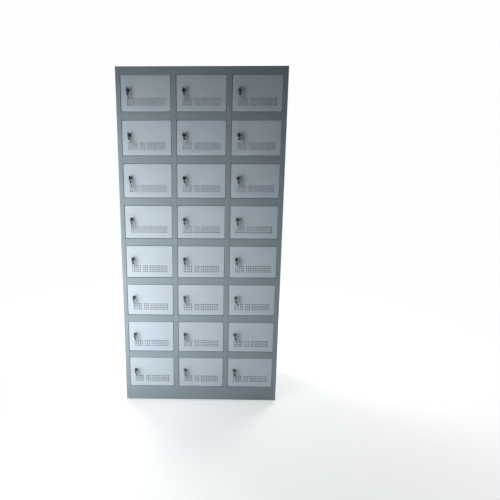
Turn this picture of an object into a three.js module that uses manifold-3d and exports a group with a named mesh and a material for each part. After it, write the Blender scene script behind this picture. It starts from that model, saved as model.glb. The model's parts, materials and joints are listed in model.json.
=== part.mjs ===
// Phone charging locker: a free-standing sheet-steel cabinet with 24 lockable compartments.
//
// Frame: millimetres, +Z up, the user stands on the -Y side and looks along +Y, +X is to the right.
// The origin is on the floor, at the centre of the overall box, keys included.
// Depths are measured from the front face of the cabinet with depthAt(), where 0 is that face.
//
// Every door hangs on two pivot pins at its right edge, and a quarter-turn cam lock is at its left.
// At rest every door is shut and every cam hangs down, which is the unlocked place with its key in.

import * as THREE from "three";
import { mergeVertices } from "three/addons/utils/BufferGeometryUtils.js";
import Module from "manifold-3d";

const wasm = await Module();
wasm.setup();

// ---- Driving dimensions ----------------------------------------------------------------------

const columnCount = 3;
const rowCount = 8;
const cabinetDepth = 400;
const openingWidth = 265;
const openingHeight = 185;
const stileWidth = 25;
const mullionWidth = 27.5;
const railHeight = 40.5;
const topRailHeight = 40;
const plinthTop = 96.5;
const glideHeight = 10;

const sheet = 1.2; // thickness of the cabinet's steel
const seam = 0.3; // gap left between two pieces that meet
const over = 1; // how far a cutter reaches past what it cuts
const overlap = 0.5; // how far two solids that are joined reach into each other
const collarDepth = 20; // depth of the lining round every opening
const shelfGap = 2; // gap between that lining and a shelf
const falseBackDepth = 320; // front face of the wall that hides the wiring
const rearInset = 4; // how far the back panel sits inside the side panels

const doorSheet = 1;
const doorGap = 2; // gap between a door and its opening, all round
const doorSetback = 0.5; // door face behind the cabinet's front face
const doorDepth = 18; // depth of the door's folded edges
const pinInset = 4; // pivot axis from the door's right edge and from its front face
const pinRadius = 2.5;
const pinHoleRadius = 3;
const pinReach = 4.7; // pin beyond the door's top and bottom edges

const lockFromEdge = 36; // lock axis from the door's left edge
const lockAboveBottom = 105;
const lockRingRadius = 10;
const lockRingProud = 2;
const barrelRadius = 8;
const barrelBore = 6.6;
const barrelEnd = 18.8; // depth of the barrel's rear end
const plugRadius = 6;
const plugEnd = 25;
const camStart = 21; // depth of the cam's front face
const camThickness = 2;
const camWidth = 12;
const camReach = 48; // lock axis to the cam's tip
const camAbove = 8; // lock axis to the cam's upper edge
const keyProud = 26; // key's end in front of the door's face
const bowThickness = 3.2;
const bowHeight = 24;
const bowDepth = 17;
const shankHeight = 9;

const ventRows = 4;
const ventPitch = 10.5;
const ventHeight = 5.5;
const ventLeft = 31; // first slot's end from the door's left edge
const ventLength = 200;
const ventBottom = 31; // lowest slot's lower edge above the door's bottom edge

const roundSides = 10; // facets of a lock's round pieces
const pinSides = 6;
const glideSides = 24;

// ---- Worked-out sizes ------------------------------------------------------------------------

const columnPitch = openingWidth + mullionWidth;
const rowPitch = openingHeight + railHeight;
const cabinetWidth = 2 * stileWidth + columnCount * columnPitch - mullionWidth;
const cabinetHeight = plinthTop + rowCount * rowPitch - railHeight + topRailHeight;
const halfWidth = cabinetWidth / 2;
const doorWidth = openingWidth - 2 * doorGap;
const doorHeight = openingHeight - 2 * doorGap;
const keyBeyondFace = keyProud - doorSetback;
const frontY = (keyBeyondFace - cabinetDepth) / 2;

const depthAt = (depth) => frontY + depth;
const openingLeft = (column) => -halfWidth + stileWidth + column * columnPitch;
const openingBottom = (row) => plinthTop + (rowCount - 1 - row) * rowPitch;
const partitionX = (gap) => openingLeft(gap + 1) - mullionWidth / 2;

// ---- Materials -------------------------------------------------------------------------------

const paint = (color, roughness) => new THREE.MeshStandardMaterial({ color, roughness, metalness: 0.1 });
const framePaint = paint(0x8a979e, 0.5);
const doorPaint = paint(0xb9c6d0, 0.45);
const innerPaint = paint(0xa4adb2, 0.55);
const blackPlastic = paint(0x1d1f22, 0.5);
const lockMetal = new THREE.MeshStandardMaterial({ color: 0x3a3e42, roughness: 0.35, metalness: 0.9 });

// ---- Solids ----------------------------------------------------------------------------------

function toSolid(geometry) {
  geometry.deleteAttribute("normal");
  geometry.deleteAttribute("uv");
  const merged = mergeVertices(geometry);
  const vertProperties = new Float32Array(merged.attributes.position.array);
  const triVerts = new Uint32Array(merged.index.array);
  return new wasm.Manifold(new wasm.Mesh({ numProp: 3, vertProperties, triVerts }));
}

function toGeometry(solid) {
  const result = solid.getMesh();
  const geometry = new THREE.BufferGeometry();
  geometry.setAttribute("position", new THREE.BufferAttribute(result.vertProperties, 3));
  geometry.setIndex(new THREE.BufferAttribute(result.triVerts, 1));
  geometry.computeVertexNormals();
  return geometry;
}

// A block between two opposite corners, each given as [x, y, z].
function block(low, high) {
  const size = high.map((value, axis) => value - low[axis]);
  const geometry = new THREE.BoxGeometry(...size);
  geometry.translate(...low.map((value, axis) => value + size[axis] / 2));
  return toSolid(geometry);
}

// A round bar along Z from low to high, centred on (x, y).
function uprightBar(radius, sides, x, y, low, high) {
  const geometry = new THREE.CylinderGeometry(radius, radius, high - low, sides);
  geometry.rotateX(Math.PI / 2);
  geometry.translate(x, y, (low + high) / 2);
  return toSolid(geometry);
}

// A round bar along Y from front to back, centred on (x, z).
function levelBar(radius, x, z, front, back) {
  const geometry = new THREE.CylinderGeometry(radius, radius, back - front, roundSides);
  geometry.translate(x, (front + back) / 2, z);
  return toSolid(geometry);
}

const join = (solids) => solids.reduce((whole, solid) => whole.add(solid));
const cut = (whole, solids) => solids.reduce((rest, solid) => rest.subtract(solid), whole);

// ---- Cabinet ---------------------------------------------------------------------------------

const back = depthAt(cabinetDepth);
const panelEdge = halfWidth - sheet - seam; // where pieces between the side panels end
const behindFace = depthAt(sheet + seam);
const backPanelRear = back - rearInset;
const backPanelFront = backPanelRear - sheet;
const lidUnderside = cabinetHeight - sheet;

// Front plate with its 24 openings, the lining of each opening and the holes for the pivot pins.
function faceFrame() {
  const plate = block([-halfWidth, depthAt(0), glideHeight], [halfWidth, depthAt(sheet), cabinetHeight]);
  const plinthFlanges = [glideHeight, plinthTop - sheet].map((low) =>
    block([-panelEdge, depthAt(0), low], [panelEdge, depthAt(collarDepth), low + sheet]),
  );
  const linings = [];
  const cuts = [];
  for (let row = 0; row < rowCount; row += 1) {
    for (let column = 0; column < columnCount; column += 1) {
      const left = openingLeft(column);
      const right = left + openingWidth;
      const bottom = openingBottom(row);
      const top = bottom + openingHeight;
      linings.push(
        block(
          [left - sheet, depthAt(0), bottom - sheet],
          [right + sheet, depthAt(collarDepth), top + sheet],
        ),
      );
      cuts.push(block([left, depthAt(-over), bottom], [right, depthAt(collarDepth + over), top]));
      cuts.push(
        uprightBar(
          pinHoleRadius,
          pinSides,
          right - doorGap - pinInset,
          depthAt(doorSetback + pinInset),
          bottom - 2 * sheet,
          top + 2 * sheet,
        ),
      );
    }
  }
  return cut(join([plate, ...plinthFlanges, ...linings]), cuts);
}

// Side sheet with the flange that the back panel is fixed to. side is -1 for left and 1 for right.
function sidePanel(side) {
  const flangeWidth = 20;
  const flangeBelowTop = 20;
  const flangeRear = backPanelFront - seam;
  const outer = side * halfWidth;
  const inner = side * (halfWidth - sheet);
  const flangeEdge = side * (halfWidth - flangeWidth);
  const wall = block(
    [Math.min(outer, inner), behindFace, glideHeight],
    [Math.max(outer, inner), back, cabinetHeight],
  );
  const flange = block(
    [Math.min(outer, flangeEdge), flangeRear - sheet, plinthTop + seam],
    [Math.max(outer, flangeEdge), flangeRear, cabinetHeight - flangeBelowTop],
  );
  return wall.add(flange);
}

// Flat lid between the side panels.
function topPanel() {
  return block([-panelEdge, behindFace, lidUnderside], [panelEdge, back - seam, cabinetHeight]);
}

// Floor of the lowest compartments, the sheet under the plinth, four angle posts and the glide under
// each post. The floor stops short of the back panel, so that wires can pass up behind it.
function baseTray() {
  const trayGap = 0.5;
  const front = depthAt(collarDepth + trayGap);
  const rear = backPanelFront - seam;
  const postLeg = 30;
  const postSheet = 2.4;
  const glideRadius = 14;
  const wireGap = 12;
  const deck = block([-panelEdge, front, plinthTop - sheet], [panelEdge, rear - wireGap, plinthTop]);
  const underside = block([-panelEdge, front, glideHeight], [panelEdge, rear, glideHeight + sheet]);
  const pieces = [deck, underside];
  for (const side of [-1, 1]) {
    for (const end of [-1, 1]) {
      const x = side * panelEdge;
      const y = end < 0 ? front : rear;
      const towardsX = x - side * postLeg;
      const towardsY = y - end * postLeg;
      const thinX = x - side * postSheet;
      const thinY = y - end * postSheet;
      const span = (a, b) => [Math.min(a, b), Math.max(a, b)];
      for (const [xs, ys] of [
        [span(x, thinX), span(y, towardsY)],
        [span(x, towardsX), span(y, thinY)],
      ]) {
        pieces.push(block([xs[0], ys[0], glideHeight + overlap], [xs[1], ys[1], plinthTop - overlap]));
      }
      const glideX = x - (side * postLeg) / 2;
      const glideY = y - (end * postLeg) / 2;
      pieces.push(uprightBar(glideRadius, glideSides, glideX, glideY, 0, glideHeight + overlap));
    }
  }
  return join(pieces);
}

const inletX = 330;
const inletZ = 52;
const inletBodyWidth = 30;
const inletBodyHeight = 23;

// Rear cover with air slots at its top and bottom and the cut-out for the mains inlet.
function backPanel() {
  const slotLength = 160;
  const slotHeight = 6;
  const slotPitch = 16;
  const slotCount = 4;
  const groupBottoms = [140, 1760];
  const groupCentres = [-230, 230];
  const plate = block(
    [-panelEdge, backPanelFront, glideHeight],
    [panelEdge, backPanelRear, lidUnderside - seam],
  );
  const cuts = [];
  for (const groupBottom of groupBottoms) {
    for (const x of groupCentres) {
      for (let slot = 0; slot < slotCount; slot += 1) {
        const z = groupBottom + slot * slotPitch;
        cuts.push(
          block(
            [x - slotLength / 2, backPanelFront - over, z],
            [x + slotLength / 2, backPanelRear + over, z + slotHeight],
          ),
        );
      }
    }
  }
  const halfCutWidth = inletBodyWidth / 2 + seam;
  const halfCutHeight = inletBodyHeight / 2 + seam;
  cuts.push(
    block(
      [inletX - halfCutWidth, backPanelFront - over, inletZ - halfCutHeight],
      [inletX + halfCutWidth, backPanelRear + over, inletZ + halfCutHeight],
    ),
  );
  return cut(plate, cuts);
}

// Panel-mounted mains inlet: a flange outside, a body inside and the recess for the connector.
function mainsInlet() {
  const flangeHalfWidth = 25;
  const flangeHalfHeight = 15;
  const flangeFront = backPanelRear + seam;
  const flangeThickness = 2.4;
  const flangeRear = flangeFront + flangeThickness;
  const bodyDepth = 24;
  const recessHalfWidth = 12.2;
  const recessHalfHeight = 8.3;
  const recessDepth = 17;
  const flange = block(
    [inletX - flangeHalfWidth, flangeFront, inletZ - flangeHalfHeight],
    [inletX + flangeHalfWidth, flangeRear, inletZ + flangeHalfHeight],
  );
  const body = block(
    [inletX - inletBodyWidth / 2, flangeRear - bodyDepth, inletZ - inletBodyHeight / 2],
    [inletX + inletBodyWidth / 2, flangeRear - overlap, inletZ + inletBodyHeight / 2],
  );
  const recess = block(
    [inletX - recessHalfWidth, flangeRear - recessDepth, inletZ - recessHalfHeight],
    [inletX + recessHalfWidth, flangeRear + over, inletZ + recessHalfHeight],
  );
  return flange.add(body).subtract(recess);
}

// Full-height wall between two columns.
function partition(gap) {
  const x = partitionX(gap);
  return block(
    [x - sheet / 2, behindFace, plinthTop + seam],
    [x + sheet / 2, backPanelFront - seam, lidUnderside - seam],
  );
}

// The seven shelves of one column, welded to the wall that hides the wiring behind them.
function shelfBank(column) {
  const nearPartition = sheet / 2 + seam;
  const left = column === 0 ? -panelEdge : partitionX(column - 1) + nearPartition;
  const right = column === columnCount - 1 ? panelEdge : partitionX(column) - nearPartition;
  const front = depthAt(collarDepth + shelfGap);
  const wallFront = depthAt(falseBackDepth);
  const wall = block(
    [left, wallFront, plinthTop + seam],
    [right, wallFront + sheet, lidUnderside - seam],
  );
  const shelves = [];
  for (let row = 0; row < rowCount - 1; row += 1) {
    const top = openingBottom(row);
    shelves.push(block([left, front, top - sheet], [right, wallFront + sheet / 2, top]));
  }
  return join([wall, ...shelves]);
}

// ---- Door ------------------------------------------------------------------------------------

// Own frame: the origin is on the pivot axis, level with the door's bottom edge.
const doorLeft = pinInset - doorWidth;
const doorFace = -pinInset;
const lockX = doorLeft + lockFromEdge;
const doorDepthAt = (depth) => doorFace - doorSetback + depth;

function door() {
  const outside = block([doorLeft, doorFace, 0], [pinInset, doorFace + doorDepth, doorHeight]);
  const inside = block(
    [doorLeft + doorSheet, doorFace + doorSheet, doorSheet],
    [pinInset - doorSheet, doorFace + doorDepth + over, doorHeight - doorSheet],
  );
  const pieces = [
    outside.subtract(inside),
    uprightBar(pinRadius, pinSides, 0, 0, -pinReach, overlap),
    uprightBar(pinRadius, pinSides, 0, 0, doorHeight - overlap, doorHeight + pinReach),
    levelBar(lockRingRadius, lockX, lockAboveBottom, doorFace - lockRingProud, doorFace + overlap),
    levelBar(barrelRadius, lockX, lockAboveBottom, doorFace, doorDepthAt(barrelEnd)),
  ];
  const cuts = [
    levelBar(
      barrelBore,
      lockX,
      lockAboveBottom,
      doorFace - lockRingProud - over,
      doorDepthAt(barrelEnd + over),
    ),
  ];
  for (let row = 0; row < ventRows; row += 1) {
    const low = ventBottom + row * ventPitch;
    cuts.push(
      block(
        [doorLeft + ventLeft, doorFace - over, low],
        [doorLeft + ventLeft + ventLength, doorFace + doorSheet + over, low + ventHeight],
      ),
    );
  }
  return cut(join(pieces), cuts);
}

// Turning part of the lock, in the door's frame moved to the lock's axis: plug, key and cam.
function lockPlug() {
  const plugFront = doorFace - lockRingProud;
  const bowFront = doorFace - keyProud;
  const plug = levelBar(plugRadius, 0, 0, plugFront, doorDepthAt(plugEnd));
  const shank = block(
    [-bowThickness / 4, bowFront + bowDepth / 2, -shankHeight / 2],
    [bowThickness / 4, plugFront + overlap, shankHeight / 2],
  );
  const corner = 6;
  const outline = new THREE.Shape();
  outline.moveTo(-bowDepth / 2, -bowHeight / 2 + corner);
  outline.lineTo(-bowDepth / 2 + corner, -bowHeight / 2);
  outline.lineTo(bowDepth / 2 - corner / 2, -bowHeight / 2);
  outline.lineTo(bowDepth / 2, -bowHeight / 2 + corner);
  outline.lineTo(bowDepth / 2, bowHeight / 2 - corner);
  outline.lineTo(bowDepth / 2 - corner / 2, bowHeight / 2);
  outline.lineTo(-bowDepth / 2 + corner, bowHeight / 2);
  outline.lineTo(-bowDepth / 2, bowHeight / 2 - corner);
  outline.closePath();
  const bowGeometry = new THREE.ExtrudeGeometry(outline, { depth: bowThickness, bevelEnabled: false });
  // The outline's x becomes +Y and its y becomes +Z, and the plate is centred on the plug.
  bowGeometry.rotateX(Math.PI / 2);
  bowGeometry.rotateZ(Math.PI / 2);
  bowGeometry.translate(-bowThickness / 2, bowFront + bowDepth / 2, 0);
  const cam = block(
    [-camWidth / 2, doorDepthAt(camStart), -camReach],
    [camWidth / 2, doorDepthAt(camStart + camThickness), camAbove],
  );
  return join([plug, shank, toSolid(bowGeometry), cam]);
}

// ---- Assembly --------------------------------------------------------------------------------

const locker = new THREE.Group();

function addPiece(parent, name, geometry, material) {
  const mesh = new THREE.Mesh(geometry, material);
  mesh.name = name;
  parent.add(mesh);
}

const columnNames = ["left", "middle", "right"];

addPiece(locker, "face_frame", toGeometry(faceFrame()), framePaint);
addPiece(locker, "side_panel_left", toGeometry(sidePanel(-1)), framePaint);
addPiece(locker, "side_panel_right", toGeometry(sidePanel(1)), framePaint);
addPiece(locker, "top_panel", toGeometry(topPanel()), framePaint);
addPiece(locker, "base_tray", toGeometry(baseTray()), innerPaint);
addPiece(locker, "back_panel", toGeometry(backPanel()), framePaint);
addPiece(locker, "mains_inlet", toGeometry(mainsInlet()), blackPlastic);
addPiece(locker, "partition_left", toGeometry(partition(0)), innerPaint);
addPiece(locker, "partition_right", toGeometry(partition(1)), innerPaint);
for (let column = 0; column < columnCount; column += 1) {
  addPiece(locker, `shelf_bank_${columnNames[column]}`, toGeometry(shelfBank(column)), innerPaint);
}

const doorGeometry = toGeometry(door());
const lockGeometry = toGeometry(lockPlug());
for (let row = 0; row < rowCount; row += 1) {
  for (let column = 0; column < columnCount; column += 1) {
    const place = `r${row + 1}_c${column + 1}`;
    const hungDoor = new THREE.Group();
    hungDoor.position.set(
      openingLeft(column) + openingWidth - doorGap - pinInset,
      depthAt(doorSetback + pinInset),
      openingBottom(row) + doorGap,
    );
    const lockPlace = new THREE.Group();
    lockPlace.position.set(lockX, 0, lockAboveBottom);
    addPiece(hungDoor, `door_${place}`, doorGeometry, doorPaint);
    addPiece(lockPlace, `lock_${place}`, lockGeometry, lockMetal);
    hungDoor.add(lockPlace);
    locker.add(hungDoor);
  }
}

export default locker;
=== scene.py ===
"""Looks of a phone charging locker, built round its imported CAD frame.

Lengths are in millimetres until Shape.mesh() and add_piece() turn them into metres. The camera, the
lights, the floor and the materials are in metres. X runs to the right, Y from the doors to the back
and Z up, as in the CAD model.
"""

import json
import math
import random

import bmesh
import bpy
from mathutils import Matrix, Vector
from mathutils.geometry import delaunay_2d_cdt


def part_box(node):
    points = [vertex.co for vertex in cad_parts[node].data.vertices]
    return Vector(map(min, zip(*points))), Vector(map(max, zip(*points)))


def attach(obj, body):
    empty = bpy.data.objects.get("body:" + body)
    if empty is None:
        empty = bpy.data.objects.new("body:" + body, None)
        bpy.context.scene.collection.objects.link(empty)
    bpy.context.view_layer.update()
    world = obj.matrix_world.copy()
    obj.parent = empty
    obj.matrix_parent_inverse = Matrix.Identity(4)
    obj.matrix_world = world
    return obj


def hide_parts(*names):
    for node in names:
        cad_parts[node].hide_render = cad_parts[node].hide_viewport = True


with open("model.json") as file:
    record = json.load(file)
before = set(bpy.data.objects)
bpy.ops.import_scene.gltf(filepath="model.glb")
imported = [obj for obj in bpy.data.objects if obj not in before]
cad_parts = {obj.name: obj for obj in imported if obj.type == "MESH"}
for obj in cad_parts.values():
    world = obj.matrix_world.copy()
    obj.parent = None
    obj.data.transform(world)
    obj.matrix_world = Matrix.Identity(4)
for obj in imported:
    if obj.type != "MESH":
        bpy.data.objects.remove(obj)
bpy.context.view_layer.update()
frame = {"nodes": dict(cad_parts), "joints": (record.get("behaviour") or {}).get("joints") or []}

# ---- Sizes, in millimetres ---------------------------------------------------------------------

SHEET = 1.2  # the cabinet's steel
FOLD = 2.0  # outside radius of the cabinet's folds
SEAM = 0.3  # the gap between two sheets that meet
COLLAR = 20.0  # depth of the lining round an opening
LID_DEPTH = 14.0

DOOR_SHEET = 1.0
DOOR_FOLD = 1.6
DOOR_GAP = 2.0
DOOR_DEPTH = 18.0
DOOR_HEM = 7.0
PIN_INSET = 4.0  # from the door's right edge, and from its face, to the pivot's axis
PIN_RADIUS = 2.5
PIN_REACH = 4.7  # how far a pin stands out of the door's edge

VENT_ROWS = 4
VENT_GROUPS = ((0.0, 5), (63.0, 3), (100.0, 10))  # each group's start and its columns of holes
VENT_RADIUS = 3.0
VENT_CORNER = (33.75, 33.75)  # the first hole's centre from the door's left and bottom edges
VENT_PITCH = 10.5

RING_RADIUS = 10.0
RING_PROUD = 2.0
BARREL_RADIUS = 8.0
BARREL_BORE = 6.6
BARREL_END = 18.3  # from the door's face
PLUG_RADIUS = 6.0
PLUG_END = 24.5
CAM_START = 20.5
CAM_THICKNESS = 2.0
CAM_WIDTH = 12.0
CAM_REACH = 48.0
CAM_STUD = 3.2  # radius of the stud that carries the cam
KEY_PROUD = 26.0
BOW_THICKNESS = 3.2
BOW_LENGTH = 17.0
BOW_WIDTH = 24.0
BOW_HOLE = 3.5  # half the width of a bow's slot
RING_FROM_END = 11.0  # from the outer end of the key in the lock to the ring in its slot
SHANK_WIDTH = 8.0
SHANK_THICKNESS = 1.7
SPLIT_RING = 6.2  # radius of the ring
RING_WIRE = 0.65  # radius of its wire

MM = 0.001
FOLD_STEPS = 6
ROUND = 24  # sides of a small round piece
FINE_ROUND = 40  # and of a larger one
TINY = 1e-3  # points closer than this are one

rows = range(1, 9)
columns = range(1, 4)
seeded = random.Random(24)


def box_mm(node):
    """The lowest and highest corner of a CAD node, in millimetres."""
    return [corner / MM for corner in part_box(node)]


def joint_place(name):
    """Where a joint's axis passes, in millimetres."""
    found = next(joint for joint in frame["joints"] if joint["name"] == name)
    return Vector(found["pos_m"]) / MM


face_low, face_high = box_mm("face_frame")
back_low, back_high = box_mm("back_panel")
front = face_low.y
collar_end = front + COLLAR
rear = box_mm("side_panel_left")[1].y
floor_gap = face_low.z
cabinet_top = face_high.z
half_width = face_high.x
panel_edge = half_width - SHEET - SEAM


def door_place(row, column):
    return joint_place(f"door_r{row}_c{column}_hinge")


def door_box(row, column):
    """(left, right, bottom, top) of a door's pan, without its pins."""
    low, high = box_mm(f"door_r{row}_c{column}")
    return low.x, high.x, low.z + PIN_REACH, high.z - PIN_REACH


def opening(row, column):
    """(left, right, bottom, top) of an opening."""
    left, right, bottom, top = door_box(row, column)
    return left - DOOR_GAP, right + DOOR_GAP, bottom - DOOR_GAP, top + DOOR_GAP


first_left, _, _, top_edge = opening(1, 1)
plinth_top = opening(8, 1)[2]
pan_left, pan_right, pan_bottom, pan_top = door_box(1, 1)
door_width = pan_right - pan_left
door_height = pan_top - pan_bottom
lock_from_pivot = joint_place("lock_r1_c1_turn") - door_place(1, 1)
lock_x = lock_from_pivot.x
lock_z = lock_from_pivot.z - (pan_bottom - door_place(1, 1).z)

# ---- Camera, lights and floor --------------------------------------------------------------------

CAMERA_PLACE = (0.027, -1.902, 1.276)
CAMERA_TURN = (math.radians(90 - 8.71), math.radians(-0.14), math.radians(0.87))
CAMERA_LENS = 22.37
CAMERA_SHIFT = (0.097, -0.0277)
FAR = 60.0  # nothing further off than this is drawn
FLOOR_RADIUS = 3.2
FLOOR_FADE = (0.9, 3.0)  # radii at which the floor starts to thin out and is clear


def add_camera():
    camera = bpy.data.objects.new("camera", bpy.data.cameras.new("camera"))
    bpy.context.collection.objects.link(camera)
    camera.location = CAMERA_PLACE
    camera.rotation_euler = CAMERA_TURN
    camera.data.lens = CAMERA_LENS
    camera.data.shift_x, camera.data.shift_y = CAMERA_SHIFT
    camera.data.clip_end = FAR
    bpy.context.scene.camera = camera


def add_softbox(name, place, aim, size, power, spread=180):
    """An area light. spread is the angle of its beam, in degrees."""
    light = bpy.data.lights.new(name, "AREA")
    light.shape = "RECTANGLE"
    light.size, light.size_y = size
    light.energy = power
    light.spread = math.radians(spread)
    lamp = bpy.data.objects.new(name, light)
    bpy.context.collection.objects.link(lamp)
    lamp.location = place
    lamp.rotation_euler = (Vector(aim) - Vector(place)).to_track_quat("-Z", "Y").to_euler()
    lamp.visible_camera = False


def add_lights():
    """In front, low light from the left that leaves the upper right dim. Even light behind."""
    add_softbox("left_key_light", (-1.1, -1.0, 1.0), (-0.35, -0.19, 0.95), (0.9, 1.6), 5.6, 90)
    add_softbox("low_key_light", (-0.9, -0.8, 0.27), (-0.1, -0.19, 0.4), (0.9, 0.8), 4.8)
    add_softbox("low_front_light", (-0.3, -1.9, 0.2), (-0.1, 0.0, 0.75), (1.6, 0.4), 4)
    add_softbox("rear_left_light", (-2.2, 1.9, 1.5), (0.0, 0.2, 0.9), (1.4, 1.8), 45)
    add_softbox("rear_right_light", (2.2, 1.6, 1.5), (0.0, 0.2, 0.9), (1.4, 1.8), 45)
    add_softbox("top_light", (0.0, 0.7, 3.2), (0.0, 0.3, 1.9), (1.6, 1.2), 20)


def add_studio():
    """A pale floor that fades into an even pale background."""
    world = bpy.data.worlds.new("studio")
    bpy.context.scene.world = world
    world.use_nodes = True
    nodes = Nodes(world.node_tree)
    seen = nodes.add("ShaderNodeBackground", Color=(0.985, 0.99, 0.99, 1), Strength=1.0)
    lit = nodes.add("ShaderNodeBackground", Color=(0.93, 0.97, 1.0, 1), Strength=0.02)
    path = nodes.add("ShaderNodeLightPath")
    both = nodes.add("ShaderNodeMixShader", Fac=path.outputs["Is Camera Ray"])
    nodes.link(lit, both.inputs[1])
    nodes.link(seen, both.inputs[2])
    nodes.link(both, nodes.add("ShaderNodeOutputWorld").inputs["Surface"])

    bpy.ops.mesh.primitive_circle_add(vertices=96, radius=FLOOR_RADIUS, fill_type="NGON")
    floor = bpy.context.object
    floor.name = "studio_floor"
    floor.data.materials.append(floor_finish())


def floor_finish():
    """Matt and pale, a little lifted where the camera sees it, and clear towards its edge."""
    nodes = Nodes.for_material("studio_floor_finish")
    place = nodes.add("ShaderNodeTexCoord").outputs["Object"]
    distance = nodes.add("ShaderNodeVectorMath", operation="LENGTH", Vector=place).outputs["Value"]
    fade = nodes.ramp(distance, *FLOOR_FADE)
    pale = nodes.add("ShaderNodeBsdfDiffuse", Color=(0.86, 0.87, 0.87, 1))
    glow = nodes.add("ShaderNodeEmission", Color=(0.95, 0.96, 0.96, 1), Strength=0.55)
    lifted = nodes.add("ShaderNodeAddShader")
    nodes.link(pale, lifted.inputs[0])
    nodes.link(glow, lifted.inputs[1])
    path = nodes.add("ShaderNodeLightPath")
    surface = nodes.add("ShaderNodeMixShader", Fac=path.outputs["Is Camera Ray"])
    nodes.link(pale, surface.inputs[1])
    nodes.link(lifted, surface.inputs[2])
    faded = nodes.add("ShaderNodeMixShader", Fac=fade)
    nodes.link(surface, faded.inputs[1])
    nodes.link(nodes.add("ShaderNodeBsdfTransparent"), faded.inputs[2])
    nodes.link(faded, nodes.add("ShaderNodeOutputMaterial").inputs["Surface"])
    return nodes.owner


# ---- Shader nodes --------------------------------------------------------------------------------


class Nodes:
    """Short ways to add and link the nodes of one tree."""

    def __init__(self, tree, owner=None):
        self.tree, self.owner = tree, owner
        tree.nodes.clear()

    @classmethod
    def for_material(cls, name):
        material = bpy.data.materials.new(name)
        material.use_nodes = True
        return cls(material.node_tree, material)

    def add(self, kind, **settings):
        """Adds a node. A setting that names an input is its value or the output linked to it."""
        node = self.tree.nodes.new(kind)
        inputs = {key: value for key, value in settings.items() if key[0].isupper()}
        for key, value in settings.items():
            if key not in inputs:
                setattr(node, key, value)
        for key, value in inputs.items():
            self.feed(node.inputs[key.replace("_", " ")], value)
        return node

    def feed(self, socket, value):
        """Gives an input another node's output or a plain value."""
        if isinstance(value, bpy.types.NodeSocket):
            self.tree.links.new(value, socket)
        else:
            socket.default_value = value

    def link(self, node, socket):
        self.tree.links.new(node.outputs[0], socket)

    def math(self, operation, first, second):
        node = self.add("ShaderNodeMath", operation=operation)
        self.feed(node.inputs[0], first)
        self.feed(node.inputs[1], second)
        return node.outputs[0]

    def vector(self, operation, first, second):
        """A vector, or a distance, worked out from two vectors."""
        node = self.add("ShaderNodeVectorMath", operation=operation)
        self.feed(node.inputs[0], first)
        self.feed(node.inputs[1], second)
        return node.outputs["Value" if operation == "DISTANCE" else "Vector"]

    def ramp(self, value, low, high, to_low=0.0, to_high=1.0):
        """A smooth change from to_low to to_high as value goes from low to high."""
        limits = {"From_Min": low, "From_Max": high, "To_Min": to_low, "To_Max": to_high}
        settings = {"interpolation_type": "SMOOTHSTEP", "Value": value}
        return self.add("ShaderNodeMapRange", **settings, **limits).outputs["Result"]

    def noise(self, place, scale, detail=3.0, roughness=0.55):
        settings = {"Vector": place, "Scale": scale, "Detail": detail, "Roughness": roughness}
        return self.add("ShaderNodeTexNoise", **settings).outputs["Fac"]

    def mix(self, share, first, second):
        """A colour between first and second."""
        node = self.add("ShaderNodeMix", data_type="RGBA")
        for number, value in ((0, share), (6, first), (7, second)):  # the inputs that mix colours
            self.feed(node.inputs[number], value)
        return node.outputs[2]

    def bump(self, height, distance, strength, under=None):
        node = self.add("ShaderNodeBump", Height=height, Distance=distance, Strength=strength)
        if under is not None:
            self.tree.links.new(under, node.inputs["Normal"])
        return node.outputs["Normal"]

    def surface(self, **settings):
        """The Principled shader, linked to the material's output."""
        shader = self.add("ShaderNodeBsdfPrincipled", **settings)
        self.link(shader, self.add("ShaderNodeOutputMaterial").inputs["Surface"])
        return self.owner


def tinted(colour, share):
    return (*[min(value * share, 1.0) for value in colour], 1)


def own_place(nodes):
    """The point in the object's space, the same shifted by chance, and the object's chance."""
    place = nodes.add("ShaderNodeTexCoord").outputs["Object"]
    chance = nodes.add("ShaderNodeObjectInfo").outputs["Random"]
    shift = nodes.add("ShaderNodeCombineXYZ", X=nodes.math("MULTIPLY", chance, 37.0), Z=chance)
    return place, nodes.vector("ADD", place, shift.outputs[0]), chance


SKIN_GREASE = (0.42, 0.4, 0.37)
DUST = (0.2, 0.19, 0.17)
SHOE_MARK = (0.1, 0.1, 0.1)
SCUFF_HEIGHT = 0.16


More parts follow.
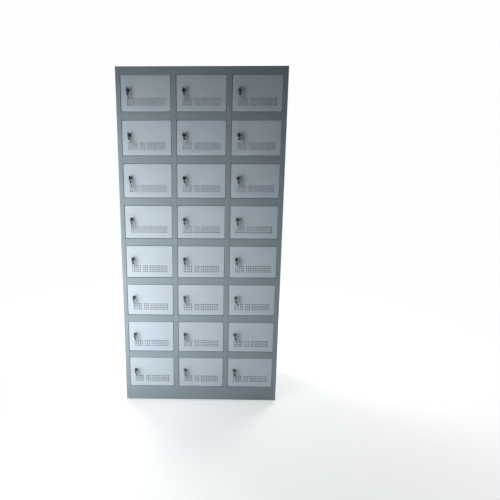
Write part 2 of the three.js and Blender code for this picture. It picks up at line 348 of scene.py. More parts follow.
def powder_coat(name, colour, roughness, smudge=None, scuffed=False):
    """Satin powder coat: orange peel, slow waves of the sheet, worn folds and handling marks.

    smudge is the point, in the object's own space, that hands keep touching. scuffed adds the marks
    of shoes and mops near the floor. Every fold is also a little lighter: a painted highlight.
    """
    nodes = Nodes.for_material(name)
    place, moved, chance = own_place(nodes)
    cloudy = nodes.noise(moved, 5.5, 4.0)
    mottled = nodes.noise(moved, 60.0, 2.0)
    broad, small = nodes.math("MULTIPLY", cloudy, 0.7), nodes.math("MULTIPLY", mottled, 0.3)
    tone = nodes.math("ADD", broad, small)
    paint = nodes.mix(nodes.ramp(tone, 0.3, 0.7), tinted(colour, 0.955), tinted(colour, 1.035))
    paint = nodes.mix(nodes.math("MULTIPLY", chance, 0.5), paint, tinted(colour, 0.965))

    edge = nodes.add("ShaderNodeAttribute", attribute_name="edge").outputs["Fac"]
    broken = nodes.noise(moved, 190.0, 4.0, 0.7)
    patches = nodes.noise(moved, 9.0, 2.0)
    rubbed = nodes.math("MULTIPLY", nodes.ramp(broken, 0.56, 0.64), nodes.ramp(patches, 0.5, 0.62))
    rubbed = nodes.math("MULTIPLY", rubbed, nodes.ramp(edge, 0.5, 0.95))
    # A painted highlight: every fold is a little lighter in its middle. The rubbed patches are real
    # wear.
    paint = nodes.mix(nodes.math("MULTIPLY", edge, 0.18), paint, tinted(colour, 1.12))
    paint = nodes.mix(nodes.math("MULTIPLY", rubbed, 0.7), paint, tinted(colour, 0.45))
    uneven_gloss = nodes.noise(moved, 14.0, 3.0)
    gloss = nodes.ramp(uneven_gloss, 0.25, 0.75, roughness - 0.05, roughness + 0.06)

    if smudge:
        offset = nodes.vector("DISTANCE", place, smudge)
        uneven = nodes.math("ADD", offset, nodes.math("MULTIPLY", nodes.noise(moved, 45.0), 0.03))
        close = nodes.ramp(uneven, 0.075, 0.02)
        touched = nodes.math("MULTIPLY", close, nodes.ramp(cloudy, 0.25, 0.6))
        paint = nodes.mix(nodes.math("MULTIPLY", touched, 0.16), paint, tinted(SKIN_GREASE, 1.0))
        gloss = nodes.math("SUBTRACT", gloss, nodes.math("MULTIPLY", touched, 0.09))
        waves = {"Vector": moved, "Scale": 120.0, "Distortion": 14.0, "Detail": 3.0}
        lines = nodes.add("ShaderNodeTexWave", **waves).outputs["Fac"]
        scratch = nodes.math("MULTIPLY", nodes.ramp(lines, 0.975, 0.99), touched)
        paint = nodes.mix(nodes.math("MULTIPLY", scratch, 0.3), paint, tinted(colour, 0.6))
    if scuffed:
        height = nodes.add("ShaderNodeSeparateXYZ", Vector=place).outputs["Z"]
        low = nodes.ramp(height, SCUFF_HEIGHT, 0.0)
        stretched = nodes.vector("MULTIPLY", place, (7.0, 7.0, 55.0))
        streaks = nodes.ramp(nodes.noise(stretched, 2.2, 5.0, 0.7), 0.52, 0.66)
        grime = nodes.math("MULTIPLY", low, nodes.ramp(cloudy, 0.35, 0.7))
        paint = nodes.mix(nodes.math("MULTIPLY", grime, 0.1), paint, tinted(DUST, 1.0))
        marks = nodes.math("MULTIPLY", low, streaks)
        paint = nodes.mix(nodes.math("MULTIPLY", marks, 0.16), paint, tinted(SHOE_MARK, 1.0))
        gloss = nodes.math("ADD", gloss, nodes.math("MULTIPLY", grime, 0.14))

    sheet_waves = nodes.bump(nodes.noise(moved, 7.0, 1.0), 0.004, 0.16)
    peel = nodes.bump(nodes.noise(moved, 620.0, 2.0), 0.0002, 0.36, sheet_waves)
    normal = nodes.bump(rubbed, -0.0001, 0.5, peel)
    settings = {"Base_Color": paint, "Roughness": gloss, "Normal": normal}
    return nodes.surface(**settings, Metallic=0.0, Specular_IOR_Level=0.5)


def worn_metal(name, colour, roughness, scratches=0.3):
    """Plated metal with fine scratches in every direction and duller handled patches."""
    nodes = Nodes.for_material(name)
    _, moved, _ = own_place(nodes)
    dull = nodes.ramp(nodes.noise(moved, 90.0, 3.0), 0.35, 0.7)
    gloss = nodes.math("ADD", nodes.math("MULTIPLY", dull, 0.16), roughness)
    tone = nodes.mix(dull, tinted(colour, 1.08), tinted(colour, 0.84))
    fine = nodes.add("ShaderNodeTexWave", Vector=moved, Scale=420.0, Distortion=22.0, Detail=4.0)
    lines = nodes.ramp(fine.outputs["Fac"], 0.9, 0.99)
    tone = nodes.mix(nodes.math("MULTIPLY", lines, scratches), tone, tinted(colour, 1.5))
    grain = nodes.bump(nodes.noise(moved, 1500.0, 2.0), 0.00005, 0.25)
    normal = nodes.bump(lines, -0.00004, 0.4, grain)
    settings = {"Base_Color": tone, "Roughness": gloss, "Normal": normal}
    return nodes.surface(**settings, Metallic=1.0)


def plastic(name, colour, roughness, grain, depth=0.00008):
    """Moulded plastic with an even spark-eroded grain and faint handling marks."""
    nodes = Nodes.for_material(name)
    _, moved, _ = own_place(nodes)
    cloudy = nodes.ramp(nodes.noise(moved, 30.0, 3.0), 0.3, 0.7)
    tone = nodes.mix(cloudy, tinted(colour, 0.9), tinted(colour, 1.12))
    gloss = nodes.math("ADD", nodes.math("MULTIPLY", cloudy, 0.1), roughness)
    dust = nodes.ramp(nodes.noise(moved, 700.0, 2.0), 0.68, 0.78)
    tone = nodes.mix(nodes.math("MULTIPLY", dust, 0.12), tone, (0.5, 0.5, 0.48, 1))
    normal = nodes.bump(nodes.noise(moved, grain, 2.0), depth, 0.35)
    return nodes.surface(Base_Color=tone, Roughness=gloss, Normal=normal)


DOOR_COLOUR = (0.60, 0.70, 0.78)
FRAME_COLOUR = (0.31, 0.385, 0.43)
INNER_COLOUR = (0.40, 0.46, 0.485)

smudge_place = (lock_x * MM, 0.0, (lock_z - DOOR_GAP) * MM)
finish = {
    "frame_paint": powder_coat("frame_paint", FRAME_COLOUR, 0.46, scuffed=True),
    "door_paint": powder_coat("door_paint", DOOR_COLOUR, 0.42, smudge=smudge_place),
    "inner_paint": powder_coat("inner_paint", INNER_COLOUR, 0.5),
    "lock_metal": worn_metal("lock_metal", (0.24, 0.27, 0.29), 0.36),
    "key_metal": worn_metal("key_metal", (0.345, 0.35, 0.345), 0.42),
    "zinc_plate": worn_metal("zinc_plate", (0.62, 0.62, 0.60), 0.34, 0.15),
    "black_plastic": plastic("black_plastic", (0.029, 0.036, 0.042), 0.42, 900.0),
    "socket_plastic": plastic("socket_plastic", (0.72, 0.72, 0.68), 0.28, 500.0, 0.00003),
    "rubber": plastic("rubber", (0.02, 0.02, 0.02), 0.75, 260.0, 0.0002),
}

# ---- Shapes --------------------------------------------------------------------------------------


def left_of(direction):
    return Vector((-direction.y, direction.x))


def folded(corners, radius):
    """A path through 2D corners with its inner corners rounded, as (point, left normal, edge).

    edge is 0 on the flats and 1 in the middle of a fold.
    """
    corners = [Vector(corner) for corner in corners]
    ways = [(after - before).normalized() for before, after in zip(corners, corners[1:])]
    line = [(corners[0], left_of(ways[0]), 0.0)]
    for corner, before, after in zip(corners[1:-1], ways, ways[1:]):
        turn = math.atan2(before.cross(after), before.dot(after))
        side = math.copysign(radius, turn)
        centre = corner - before * radius * math.tan(abs(turn) / 2) + left_of(before) * side
        for step in range(FOLD_STEPS + 1):
            share = step / FOLD_STEPS
            normal = Matrix.Rotation(turn * share, 2) @ left_of(before)
            line.append((centre - normal * side, normal, math.sin(math.pi * share)))
    return [*line, (corners[-1], left_of(ways[-1]), 0.0)]


def circle(x, y, radius, sides=ROUND, start=0.0):
    turns = [start + math.tau * side / sides for side in range(sides)]
    return [(x + radius * math.cos(turn), y + radius * math.sin(turn)) for turn in turns]


def rounded_box(low_x, low_y, high_x, high_y, radius, steps=4):
    """A rectangle's outline with round corners."""
    outline = []
    centres = [
        (high_x - radius, high_y - radius),
        (low_x + radius, high_y - radius),
        (low_x + radius, low_y + radius),
        (high_x - radius, low_y + radius),
    ]
    for quarter, (x, y) in enumerate(centres):
        for step in range(steps + 1):
            turn = math.pi / 2 * (quarter + step / steps)
            outline.append((x + radius * math.cos(turn), y + radius * math.sin(turn)))
    return outline


def centred_box(half_wide, half_tall, radius, steps=4):
    return rounded_box(-half_wide, -half_tall, half_wide, half_tall, radius, steps)


def filled(loops):
    """Triangles inside the first loop and outside the others, as (points, faces)."""
    points, outlines = [], []
    for loop in loops:
        outlines.append([len(points) + i for i in range(len(loop))])
        points += [Vector(point) for point in loop]
    found_points, _, triangles, _, _, inside = delaunay_2d_cdt(points, [], outlines, 1, 1e-5)
    kept = [list(face) for face, loops_round in zip(triangles, inside) if len(loops_round) == 1]
    return [tuple(point) for point in found_points], kept


def bands(rings, sides, closed=False):
    """The faces between rings that follow each other. A closed row ends where it starts."""
    faces = []
    for ring in range(rings if closed else rings - 1):
        this, after = ring * sides, (ring + 1) % rings * sides
        for i in range(sides):
            j = (i + 1) % sides
            faces.append((this + i, this + j, after + j, after + i))
    return faces


def upright(u, v, w):
    """A section in plan, carried along Z."""
    return (u, v, w)


def across(u, v, w):
    """A section seen from the side, as (Y, Z), carried along X."""
    return (w, u, v)


def facing(u, v, w):
    """An outline seen from the front, as (X, Z), carried along Y."""
    return (u, w, v)


def moved_by(x, y, z, to_space):
    return lambda u, v, w: tuple(Vector(to_space(u, v, w)) + Vector((x, y, z)))


class Shape:
    """A mesh in the making. kind is the number of a face's material."""

    def __init__(self):
        self.points, self.edges, self.faces, self.kinds = [], [], [], []

    def add(self, points, faces, kind=0, edges=None):
        start = len(self.points)
        self.points += points
        self.edges += edges or [0.0] * len(points)
        self.faces += [[start + i for i in face] for face in faces]
        self.kinds += [kind] * len(faces)
        return self

    def bent_sheet(self, corners, low, high, to_space, thickness=SHEET, radius=FOLD, kind=0):
        """A folded sheet. Positive thickness lies to the left of the path through corners."""
        line = folded(corners, radius)
        count = len(line)
        section = [point for point, _, _ in line]
        section += [point + normal * thickness for point, normal, _ in line]
        points = [to_space(u, v, w) for w in (low, high) for u, v in section]
        edges = [edge for _, _, edge in line] * 4
        far = 2 * count
        faces = [(0, count, far + count, far)]
        faces.append((count - 1, far - 1, far + far - 1, far + count - 1))
        for i in range(count - 1):
            inner = count + i
            faces.append((i, i + 1, far + i + 1, far + i))
            faces.append((inner, inner + 1, far + inner + 1, far + inner))
            faces.append((i, i + 1, inner + 1, inner))
            faces.append((far + i, far + i + 1, far + inner + 1, far + inner))
        return self.add(points, faces, kind, edges)

    def plate(self, loops, low, high, to_space, kind=0):
        """A flat plate from low to high. The first loop is its outline, the others are holes."""
        flat, faces = filled(loops)
        for w in (low, high):
            self.add([to_space(u, v, w) for u, v in flat], faces, kind)
        for loop in loops:
            points = [to_space(u, v, w) for w in (low, high) for u, v in loop]
            self.add(points, bands(2, len(loop)), kind)
        return self

    def turned(self, profile, to_space, sides=ROUND, kind=0, closed=False):
        """A round piece from (radius, w) points. Unless closed, its ends lie on the axis."""
        points = []
        for radius, w in profile:
            points += [to_space(u, v, w) for u, v in circle(0, 0, radius, sides)]
        return self.add(points, bands(len(profile), sides, closed), kind)

    def tube(self, path, radius, sides=8, kind=0):
        """A wire along an open path of 3D points, with flat ends."""
        path = [Vector(point) for point in path]
        points = []
        for i, point in enumerate(path):
            along = (path[min(i + 1, len(path) - 1)] - path[max(i - 1, 0)]).normalized()
            side = along.cross(Vector((0.0, 1.0, 0.0))).normalized()
            up = side.cross(along)
            points += [tuple(point + side * u + up * v) for u, v in circle(0, 0, radius, sides)]
        ends = [list(range(sides)), [len(points) - sides + i for i in range(sides)]]
        return self.add(points, ends + bands(len(path), sides), kind)

    def pan(self, width, length, depth, to_space, hem=0.0, holes=(), thickness=SHEET, radius=FOLD):
        """A sheet with all four edges folded back by depth, and hemmed inwards by hem."""
        corners = [(0.0, 0.0), (radius, 0.0), (radius, depth)]
        if hem:
            corners.append((radius - hem, depth))
        line = folded(corners, radius)
        flat = [
            (width - radius, length - radius),
            (radius, length - radius),
            (radius, radius),
            (width - radius, radius),
        ]
        turns = [math.pi / 8 * i for i in range(5)]
        arc = [Vector((math.cos(turn), math.sin(turn))) for turn in turns]

        def ring(offset):
            """The flat's outline, grown with round corners or shrunk with mitred ones."""
            loop = []
            for quarter, corner in enumerate(flat):
                spin = Matrix.Rotation(math.pi / 2 * quarter, 2)
                for way in arc if offset > 0 else [Vector((1.0, 1.0))] * len(arc):
                    loop.append(Vector(corner) + spin @ way * offset)
            return loop

        sides = len(flat) * len(arc)
        stations = [(point.x, point.y, edge) for point, _, edge in line]
        stations += [
            (point.x + normal.x * thickness, point.y + normal.y * thickness, edge)
            for point, normal, edge in reversed(line)
        ]
        points, edges = [], []
        for offset, w, edge in stations:
            points += [to_space(u, v, w) for u, v in ring(offset)]
            edges += [edge] * sides
        self.add(points, bands(len(stations), sides), edges=edges)
        skin, triangles = filled([flat, *holes])
        for w in (0.0, thickness):
            self.add([to_space(u, v, w) for u, v in skin], triangles)
        for hole in holes:
            rim = [to_space(u, v, w) for w in (0.0, thickness) for u, v in hole]
            self.add(rim, bands(2, len(hole)))
        return self

    def mesh(self, name, slots, rounding=0.0):
        """The finished mesh, in metres, with weighted normals. rounding is its bevels' width."""
        mesh = bpy.data.meshes.new(name)
        mesh.from_pydata([tuple(Vector(point) * MM) for point in self.points], [], self.faces)
        mesh.attributes.new("edge", "FLOAT", "POINT").data.foreach_set("value", self.edges)
        mesh.polygons.foreach_set("material_index", self.kinds)
        for slot in slots:
            mesh.materials.append(finish[slot])
        made = bmesh.new()
        made.from_mesh(mesh)
        bmesh.ops.remove_doubles(made, verts=made.verts, dist=TINY * MM)
        bmesh.ops.recalc_face_normals(made, faces=made.faces)
        made.to_mesh(mesh)
        made.free()
        mesh.set_sharp_from_angle(angle=math.radians(35))
        draft = bpy.data.objects.new(name, mesh)
        bpy.context.collection.objects.link(draft)
        if rounding:
            bevel = draft.modifiers.new("rounding", "BEVEL")
            bevel.width = rounding * MM
            bevel.segments = 2
            bevel.limit_method = "ANGLE"
            bevel.angle_limit = math.radians(40)
        draft.modifiers.new("flat faces", "WEIGHTED_NORMAL").keep_sharp = True
        drawn = draft.evaluated_get(bpy.context.evaluated_depsgraph_get())
        final = bpy.data.meshes.new_from_object(drawn)
        final.name = name
        bpy.data.objects.remove(draft)
        bpy.data.meshes.remove(mesh)
        return final


def add_piece(name, mesh, body, replaced=(), place=(0.0, 0.0, 0.0)):
    """A piece at its place, in millimetres. replaced lists the CAD nodes that it stands for."""
    piece = bpy.data.objects.new(name, mesh)
    bpy.context.collection.objects.link(piece)
    piece.location = Vector(place) * MM
    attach(piece, body)
    if replaced:
        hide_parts(*replaced)
    return piece


def add_shape(name, shape, slot, body="cabinet", replaced=(), rounding=0.0, more_slots=()):
    mesh = shape.mesh(name, [slot, *more_slots], rounding)
    return add_piece(name, mesh, body, replaced)


# ---- Cabinet -------------------------------------------------------------------------------------


def add_side(name, side, replaced):
    """Side sheet folded round the stile and back into the lining of the outer openings."""

    def mirrored(u, v, w):
        return (side * u, v, w)

    stile_edge = -first_left
    section = [
        (stile_edge, collar_end),
        (stile_edge, front),
        (half_width, front),
        (half_width, rear),
    ]
    shape = Shape().bent_sheet(section, floor_gap, cabinet_top, mirrored)
    flange_rear = back_low.y - SEAM
    flange = [
        (half_width - SHEET, flange_rear - COLLAR),
        (half_width - SHEET, flange_rear),
        (half_width - COLLAR, flange_rear),
    ]
    shape.bent_sheet(flange, plinth_top, cabinet_top - COLLAR, mirrored)
    add_shape(name, shape, "frame_paint", replaced=replaced)


def channel(low, high):
    """Section of a channel whose web is the cabinet's front face between low and high."""
    return [(collar_end, low), (front, low), (front, high), (collar_end, high)]


def turned_round(u, v, w):
    """The same section for an upright channel, given as (Y, X)."""
    return (v, u, w)


def add_front():
    right_end = -first_left
    plinth_section = channel(floor_gap, plinth_top)
    plinth = Shape().bent_sheet(plinth_section, first_left, right_end, across, -SHEET)
    add_shape("plinth", plinth, "frame_paint", replaced=["face_frame"])
    top_section = [(collar_end, top_edge), (front, top_edge), (front, cabinet_top)]
    top_rail = Shape().bent_sheet(top_section, first_left, right_end, across, -SHEET)
    add_shape("top_rail", top_rail, "frame_paint", replaced=["face_frame"])
    mullion_ends = plinth_top - FOLD, top_edge + FOLD
    for name, column in (("mullion_left", 1), ("mullion_right", 2)):
        section = channel(opening(1, column)[1], opening(1, column + 1)[0])
        mullion = Shape().bent_sheet(section, *mullion_ends, turned_round, -SHEET)
        add_shape(name, mullion, "frame_paint", replaced=["face_frame"])
    for row in rows[:-1]:
        for column in columns:
            left, right, bottom, _ = opening(row, column)
            section = channel(opening(row + 1, column)[3], bottom)
            rail = Shape().bent_sheet(section, left, right, across, -SHEET)
            name = f"rail_{row}_{row + 1}_c{column}"
            add_shape(name, rail, "frame_paint", replaced=["face_frame"])


def add_pivot_washers():
    """A thin washer on every pivot pin, between the door and the opening's lining."""
    shape = Shape()
    thickness, inner, outer = 0.8, 2.7, 4.4
    for row in rows:
        for column in columns:
            place = door_place(row, column)
            _, _, bottom, top = opening(row, column)
            for low in (bottom, top - thickness):
                high = low + thickness
                profile = [(inner, low), (outer, low), (outer, high), (inner, high)]
                shape.turned(profile, moved_by(place.x, place.y, 0, upright), 16, closed=True)
    add_shape("pivot_washers", shape, "black_plastic")


def add_lid():
    width = 2 * panel_edge
    lid_front = front + SHEET + SEAM
    length = rear - SEAM - lid_front

    def lying(u, v, w):
        return (u - panel_edge, v + lid_front, cabinet_top - w)

    lid = Shape().pan(width, length, LID_DEPTH, lying)
    add_shape("lid", lid, "frame_paint", replaced=["top_panel"])


def add_base():
    width = 2 * panel_edge
    base_front = collar_end + SEAM + 0.2
    base_rear = back_low.y - SEAM
    wire_gap = 12.0
    fold_down = 12.0

    def under(u, v, w):
        return (u - panel_edge, v + base_front, floor_gap + w)

    def over(u, v, w):
        return (u - panel_edge, v + base_front, plinth_top - w)

    deck = Shape().pan(width, base_rear - wire_gap - base_front, fold_down, over)
    add_shape("base_deck", deck, "inner_paint", replaced=["base_tray"])
    underside = Shape().pan(width, base_rear - base_front, fold_down, under)
    add_shape("base_underside", underside, "inner_paint", replaced=["base_tray"])

    posts, glides, pads = Shape(), Shape(), Shape()
    leg, post_sheet, post_fold = 30.0, 2.4, 3.0
    glide = [(0, 3.2), (13.0, 3.2), (13.4, 5.2), (11.4, 7.0), (5.5, 7.8), (5.5, 10.2), (0, 10.2)]
    pad = [(0, 0), (12.8, 0), (14.0, 1.2), (14.0, 3.0), (13.4, 3.4), (0, 3.4)]
    for side in (-1, 1):
        for y, way in ((base_front, 1), (base_rear, -1)):
            edge_x, edge_y = side * (panel_edge - SHEET), y + way * SHEET
            end_x, end_y = edge_x - side * leg, edge_y + way * leg
            section = [(end_x, edge_y), (edge_x, edge_y), (edge_x, end_y)]
            ends = floor_gap + SHEET, plinth_top - SHEET
            posts.bent_sheet(section, *ends, upright, post_sheet * side * way, post_fold)
            foot = moved_by(side * (panel_edge - leg / 2), y + way * leg / 2, 0, upright)
            glides.turned(glide, foot, FINE_ROUND)
            pads.turned(pad, foot, FINE_ROUND)
    add_shape("base_posts", posts, "inner_paint", replaced=["base_tray"])
    add_shape("glides", glides, "zinc_plate", replaced=["base_tray"])
    add_shape("glide_pads", pads, "rubber", replaced=["base_tray"])


def screw(shape, x, y, z, radius, to_space, kind=0):
    """A pan-head screw with a socket, standing out of its face by a third of its width."""
    profile = [(0, 0.25), (0.42, 0.25), (0.46, 0.62), (0.72, 0.5), (0.93, 0.22), (1.0, 0.0), (0, 0)]
    head = [(share * radius, -height * radius) for share, height in profile]
    shape.turned(head, moved_by(x, y, z, to_space), 16, kind)


def to_rear(u, v, w):
    """An outline on the back panel, as (X, Z). w runs in, towards the front."""
    return (u, -w, v)


def add_back_screws():
    shape = Shape()
    across_count, up_count = 5, 8
    inset, head_radius = 9.0, 4.0
    spots = set()
    for i in range(across_count):
        x = (i / (across_count - 1) * 2 - 1) * (panel_edge - inset)
        spots |= {(x, back_low.z + inset), (x, back_high.z - inset)}
    for i in range(up_count):
        z = back_low.z + inset + i / (up_count - 1) * (back_high.z - back_low.z - 2 * inset)
        spots |= {(inset - panel_edge, z), (panel_edge - inset, z)}
    for x, z in sorted(spots):
        screw(shape, x, back_high.y, z, head_radius, to_rear)
    add_shape("back_panel_screws", shape, "zinc_plate")


def add_inlet():
    """Panel-mounted mains inlet with three flat pins, held by two screws."""
    low, high = box_mm("mains_inlet")
    x, z = (low.x + high.x) / 2, (low.z + high.z) / 2
    flange_rear = high.y
    place = moved_by(x, flange_rear, z, to_rear)

    def recess(half_wide, half_tall, chamfer=5.0):
        return [
            (-half_wide, -half_tall),
            (half_wide, -half_tall),
            (half_wide, half_tall - chamfer),
            (half_wide - chamfer, half_tall),
            (-half_wide + chamfer, half_tall),
            (-half_wide, half_tall - chamfer),
        ]

    # Half the width and half the height of each.
    flange, body, block = (25.0, 15.0), (15.0, 11.5), (14.8, 11.3)
    shape = Shape()
    shape.plate([centred_box(*flange, 5, 6), recess(12.2, 8.3)], 0.0, 2.4, place)
    shape.plate([centred_box(*body, 1.5), recess(12.4, 8.5)], 2.3, 17.0, place)
    shape.plate([centred_box(*block, 1.5)], 16.8, 24.0, place)
    for pin_x, pin_z in ((-7, -2), (0, 2), (7, -2)):
        pin = rounded_box(pin_x - 1, pin_z - 2, pin_x + 1, pin_z + 2, 0.6)
        shape.plate([pin], 3.0, 17.2, place, kind=1)
    for screw_x in (-20, 20):
        screw(shape, x + screw_x, flange_rear, z, 3.0, to_rear, kind=1)
    settings = {"replaced": ["mains_inlet"], "rounding": 0.25, "more_slots": ["zinc_plate"]}
    add_shape("inlet", shape, "black_plastic", **settings)


def add_wiring():
    """Snap-lid trunking behind every column and the junction box in the plinth."""
    wall_rear = box_mm("shelf_bank_left")[1].y
    wall, start = 1.5, plinth_top + 10

    def trough(x, half_wide, y_ends, y_bottom):
        """Section of a trough along Z, with its bottom at y_bottom and its edges at y_ends."""
        left, right = x - half_wide, x + half_wide
        return [(left, y_ends), (left, y_bottom), (right, y_bottom), (right, y_ends)]

    for name, column in (("left", 1), ("middle", 2), ("right", 3)):
        left, right, _, _ = opening(1, column)
        x = (left + right) / 2
        tray = trough(x, 20, wall_rear + 22, wall_rear + 0.5)
        cover = trough(x, 21.6, wall_rear + 12, wall_rear + 24)
        shape = Shape().bent_sheet(tray, start, top_edge, upright, wall, 1.6)
        shape.bent_sheet(cover, start, top_edge, upright, -wall, 1.8)
        add_shape(f"wiring_trunk_{name}", shape, "socket_plastic")

    inlet_low, _ = box_mm("mains_inlet")
    box_left, box_front = inlet_low.x - 150, inlet_low.y - 70
    width, depth, lid_at, height = 110, 60, 32, 42
    box = rounded_box(box_left, box_front, box_left + width, box_front + depth, 5)
    lid_right, lid_rear = box_left + width + 1, box_front + depth + 1
    lid = rounded_box(box_left - 1, box_front - 1, lid_right, lid_rear, 6)
    base = floor_gap + SHEET + SEAM
    shape = Shape().plate([box], base, base + lid_at, upright)
    shape.plate([lid], base + lid_at + 0.3, base + height, upright)
    add_shape("junction_box", shape, "socket_plastic", rounding=0.8)


def add_outlets():
    """A mains socket with two charging ports on the rear wall of every compartment."""
    proud, floor, floor_front = -9.0, -2.4, -3.8
    dish_x, dish_radius, pin_gap = -18.0, 19.5, 9.5
    port_x, port_heights = 34.0, (-9, 9)
    ports = [
        rounded_box(port_x - 6.6, z - 2.7, port_x + 6.6, z + 2.7, 0.6, 2) for z in port_heights
    ]
    pins = [circle(dish_x + x, 0, 2.6, 16) for x in (-pin_gap, pin_gap)]
    dish = circle(dish_x, 0, dish_radius, FINE_ROUND)
    dish_floor = circle(dish_x, 0, dish_radius + 1, FINE_ROUND)
    shape = Shape()
    shape.plate([centred_box(56, 36, 7, 6), dish, *ports], -2.0, proud, facing)
    shape.plate([dish_floor, *pins], floor, floor_front, facing)
    shape.plate([centred_box(54, 34, 6, 6)], -0.2, -1.9, facing, kind=1)
    rim = [(0.0, 0.3), (0.0, -0.6), (0.7, -1.1), (1.6, -0.8), (2.0, 0.3)]
    profile = [(dish_radius + out, proud + w) for out, w in rim]
    shape.turned(profile, moved_by(dish_x, 0, 0, facing), FINE_ROUND, closed=True)
    for z in (-17.6, 17.6):
        clip = rounded_box(dish_x - 2.5, z - 1.2, dish_x + 2.5, z + 1.2, 0.8)
        shape.plate([clip], floor_front, proud + 1.0, facing, kind=2)
    for z in port_heights:
        tongue = rounded_box(port_x - 5.4, z + 0.3, port_x + 5.4, z + 1.9, 0.3, 2)
        shape.plate([tongue], floor, proud + 1.2, facing, kind=1)
    for x in (-49, 49):
        screw(shape, x, proud, 0, 2.8, facing, kind=2)
    mesh = shape.mesh("outlet", ["socket_plastic", "black_plastic", "zinc_plate"], 0.3)
    back_box = Shape().plate([centred_box(30, 30, 4)], 0.3, 18.0, facing)
    back_box.plate([rounded_box(-34, -6, -29, 6, 1)], 4.0, 14.0, facing)
    box_mesh = back_box.mesh("outlet_box", ["socket_plastic"], 0.6)
    wall = box_mm("shelf_bank_left")[1].y
    right_of_middle, above_middle = 55, 15
    for row in rows:
        for column in columns:
            left, right, bottom, top = opening(row, column)
            x, z = (left + right) / 2 + right_of_middle, (bottom + top) / 2 + above_middle
            inside, behind = (x, wall - SHEET - 0.2, z), (x, wall, z)
            name = f"r{row}_c{column}"
            add_piece(f"outlet_{name}", mesh, "cabinet", place=inside)
            add_piece(f"outlet_box_{name}", box_mesh, "cabinet", place=behind)


def finish_cad_nodes():
    """Gives the CAD sheets that stay in view their finishes."""
    inner = ["partition_left", "partition_right"]
    inner += [f"shelf_bank_{place}" for place in ("left", "middle", "right")]
    kept = {"back_panel": "frame_paint"} | dict.fromkeys(inner, "inner_paint")
    for node, slot in kept.items():
        for material_slot in frame["nodes"][node].material_slots:
            material_slot.material = finish[slot]


# ---- Doors ---------------------------------------------------------------------------------------

# A door and its lock are drawn with the pivot's axis at X = Y = 0 and the bottom edge at Z = 0.
door_left = PIN_INSET - door_width
face = -PIN_INSET


def door_mesh():
    """A folded pan with its vents, its pivot pins and the plates that carry them."""
    holes = [circle(lock_x - door_left, lock_z, BARREL_RADIUS + 0.15)]
    for row in range(VENT_ROWS):
        z = VENT_CORNER[1] + row * VENT_PITCH
        for start, count in VENT_GROUPS:
            first = VENT_CORNER[0] + start
            holes += [circle(first + i * VENT_PITCH, z, VENT_RADIUS, 16) for i in range(count)]
    to_space = moved_by(door_left, face, 0, facing)
    shape = Shape().pan(
        door_width, door_height, DOOR_DEPTH, to_space, DOOR_HEM, holes, DOOR_SHEET, DOOR_FOLD
    )
    chamfer, top_inside = 0.6, door_height - DOOR_SHEET
    for start, end in ((DOOR_SHEET, -PIN_REACH), (top_inside, door_height + PIN_REACH)):
        shoulder = end + math.copysign(chamfer, start - end)
        profile = [(0, start), (PIN_RADIUS, start), (PIN_RADIUS, shoulder)]
        profile += [(PIN_RADIUS - chamfer, end), (0, end)]
        shape.turned(profile, upright, kind=1)
    gap, reach, pin_plate = 0.2, 20.0, 2.0
    for low in (DOOR_SHEET, top_inside - pin_plate):
        inside = DOOR_SHEET + gap
        patch = rounded_box(-reach, face + inside, PIN_INSET - inside, face + DOOR_DEPTH - 3, 1.0)
        shape.plate([patch], low, low + pin_plate, upright)
    return shape.mesh("door_panel", ["door_paint", "zinc_plate"])


def lock_housing_mesh():
    """The fixed part of a cam lock: face ring, threaded barrel and hexagon nut."""
    shape = Shape()
    profile = [
        (BARREL_BORE, -RING_PROUD + 0.7),
        (BARREL_BORE + 0.5, -RING_PROUD),
        (RING_RADIUS - 1.1, -RING_PROUD),
        (RING_RADIUS - 0.3, -RING_PROUD + 0.5),
        (RING_RADIUS, -RING_PROUD + 1.3),
        (RING_RADIUS, -0.05),
        (BARREL_RADIUS, -0.05),
        (BARREL_RADIUS, 1.2),
    ]
    pitch, root = 1.2, 0.55
    depth = 1.6
    while depth < BARREL_END - pitch:
        profile += [(BARREL_RADIUS - root, depth), (BARREL_RADIUS, depth + pitch / 2)]
        depth += pitch
    profile += [(BARREL_RADIUS - root, BARREL_END), (BARREL_BORE, BARREL_END)]
    axis = moved_by(lock_x, face, lock_z, facing)
    shape.turned(profile, axis, 32, closed=True)
    nut_radius, nut_start, nut_height = 12.7, DOOR_SHEET + 0.1, 4.5
    nut = [circle(0, 0, nut_radius, 6, math.pi / 6), circle(0, 0, BARREL_RADIUS - 0.2)]
    shape.plate(nut, nut_start, nut_start + nut_height, axis, kind=1)
    return shape.mesh("lock_housing", ["lock_metal", "zinc_plate"], 0.25)


def bow_outline(length, width, end_rim, blade_rim):
    """A key's bow and the slot for its ring. u runs from the bow's free end to the blade.

    end_rim and blade_rim are left between the slot and the bow's two ends.
    """
    outline = rounded_box(0, -width / 2, length, width / 2, 5.0, 6)
    slot = rounded_box(end_rim, -BOW_HOLE, length - blade_rim, BOW_HOLE, BOW_HOLE - 0.05, 6)
    return [outline, slot]


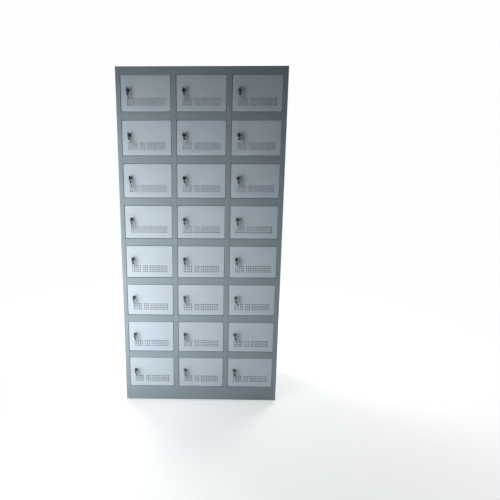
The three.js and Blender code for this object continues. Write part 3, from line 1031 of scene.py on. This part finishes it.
def lock_core_mesh():
    """The turning part of a lock, round its axis: plug, key and cam."""
    shape = Shape()
    plug_front = -RING_PROUD + 0.5
    slot_half_wide, slot_half_tall = SHANK_THICKNESS / 2 + 0.25, SHANK_WIDTH / 2 + 0.3
    plug_face = moved_by(0, face, 0, facing)
    keyway = rounded_box(-slot_half_wide, -slot_half_tall, slot_half_wide, slot_half_tall, 0.5, 2)
    shape.plate([circle(0, 0, PLUG_RADIUS), keyway], plug_front, 6.0, plug_face)
    shaft, shaft_end = PLUG_RADIUS - 0.1, CAM_START - 0.6
    shape.turned([(0, 5.9), (shaft, 5.9), (shaft, shaft_end), (0, shaft_end)], plug_face)

    def on_edge(u, v, w):
        """The key's side view: u runs back towards the door, v up and w across the blade."""
        return (w, u + face - KEY_PROUD, v)

    half_bow, half_shank = BOW_THICKNESS / 2, SHANK_THICKNESS / 2
    bow = bow_outline(BOW_LENGTH, BOW_WIDTH, 3.0, 3.0)
    shape.plate(bow, -half_bow, half_bow, on_edge, kind=1)
    blade_start, blade_end, half_wide = BOW_LENGTH - 2, KEY_PROUD + 4.0, SHANK_WIDTH / 2
    blade = [
        (blade_start, -half_wide),
        (blade_end, -half_wide),
        (blade_end, half_wide),
        (blade_start, half_wide),
    ]
    shape.plate([blade], -half_shank, half_shank, on_edge, kind=2)

    half_cam, corner = CAM_WIDTH / 2, 2.0
    cam = [(half_cam, 4.0), (half_cam - corner, 8.0), (corner - half_cam, 8.0), (-half_cam, 4.0)]
    cam += [(-half_cam, corner - CAM_REACH), (corner - half_cam, -CAM_REACH)]
    cam += [(half_cam - corner, -CAM_REACH), (half_cam, corner - CAM_REACH)]
    cam_end = CAM_START + CAM_THICKNESS
    washer_end = cam_end + 0.8
    shape.plate([cam, circle(0, 0, CAM_STUD - 0.2, 16)], CAM_START, cam_end, plug_face, kind=3)
    shape.plate([circle(0, 0, 5.2, 6)], washer_end, PLUG_END, plug_face, kind=3)
    washer = [circle(0, 0, 5.8), circle(0, 0, CAM_STUD - 0.1, 16)]
    shape.plate(washer, cam_end, washer_end, plug_face, kind=3)
    start, end = shaft_end - 0.2, PLUG_END - 0.5
    stud = [(0, start), (CAM_STUD, start), (CAM_STUD, end), (0, end)]
    shape.turned(stud, plug_face, 16, kind=3)
    return shape.mesh("lock_core", ["lock_metal", "black_plastic", "key_metal", "zinc_plate"], 0.3)


def spare_key_mesh(number):
    """A split ring through the bow of the key in the lock, with the spare key hanging on it.

    Both hang straight down however far the lock is turned, so they ride on the door.
    """
    shape = Shape()
    lean = math.radians(seeded.uniform(0, 14))
    hole = Vector((lock_x, face - KEY_PROUD + RING_FROM_END, lock_z))
    rest_on = hole - Vector((0, 0, BOW_HOLE - RING_WIRE))
    centre = rest_on + Vector((math.sin(lean), 0, -math.cos(lean))) * SPLIT_RING
    steps, coils, coil_gap = 44, 1.9, 2.4 * RING_WIRE
    path = []
    for step in range(steps + 1):
        turn = math.tau * coils * step / steps
        sideways = (step / steps - 0.5) * coil_gap
        out = Vector((math.cos(turn), 0, math.sin(turn))) * SPLIT_RING
        path.append(centre + out + Vector((0, sideways, 0)))
    shape.tube(path, RING_WIRE, 6, kind=1)

    hang = centre - Vector((0, 0, SPLIT_RING))
    yaw = Matrix.Rotation(math.radians(seeded.uniform(28, 45)), 3, "Z")
    swing = Matrix.Rotation(math.radians(-seeded.uniform(8, 30)), 3, "Y")
    length, width, end_rim, blade_rim = 14.5, 15.0, 1.1, 6.0

    def hanging(u, v, w):
        """u runs down from the bow's top edge, v across the bow and w through it."""
        return tuple(hang + swing @ yaw @ Vector((w, v, end_rim + RING_WIRE - u)))

    half_bow = BOW_THICKNESS / 2
    shape.plate(bow_outline(length, width, end_rim, blade_rim), -half_bow, half_bow, hanging)
    half_wide, half_thick, tip = 3.6, 0.9, length + 22.0
    blade = [(length - 2, half_wide), (length - 2, -half_wide), (tip - 3, -half_wide), (tip, 0.0)]
    notches, notch_pitch = 5, 3.6
    for notch in range(notches):
        u = tip - 3.5 - notch * notch_pitch
        cut = half_wide - 1.1 - 0.7 * math.sin(2.1 * notch + number)
        blade += [(u, half_wide), (u - 1.2, cut), (u - 2.0, cut)]
    shape.plate([blade], -half_thick, half_thick, hanging, kind=1)
    return shape.mesh("spare_key", ["black_plastic", "key_metal"], 0.25)


def add_doors():
    panel, housing, core = door_mesh(), lock_housing_mesh(), lock_core_mesh()
    for row in rows:
        for column in columns:
            name = f"r{row}_c{column}"
            door, lock = f"door_{name}", f"lock_{name}"
            pivot = door_place(row, column)
            axis = pivot + Vector((lock_x, 0, lock_z))
            add_piece(f"door_panel_{name}", panel, door, [door], pivot)
            add_piece(f"lock_housing_{name}", housing, door, place=pivot)
            add_piece(f"lock_core_{name}", core, lock, [lock], axis)
            spare = spare_key_mesh(3 * row + column)
            add_piece(f"spare_key_{name}", spare, door, place=pivot)


# ---- Whole model ---------------------------------------------------------------------------------

bpy.context.scene.view_settings.view_transform = "Standard"
add_camera()
add_lights()
add_studio()
add_side("left_side", -1, ["side_panel_left", "face_frame"])
add_side("right_side", 1, ["side_panel_right", "face_frame"])
add_front()
add_pivot_washers()
add_lid()
add_base()
add_back_screws()
add_inlet()
add_wiring()
add_outlets()
finish_cad_nodes()
add_doors()
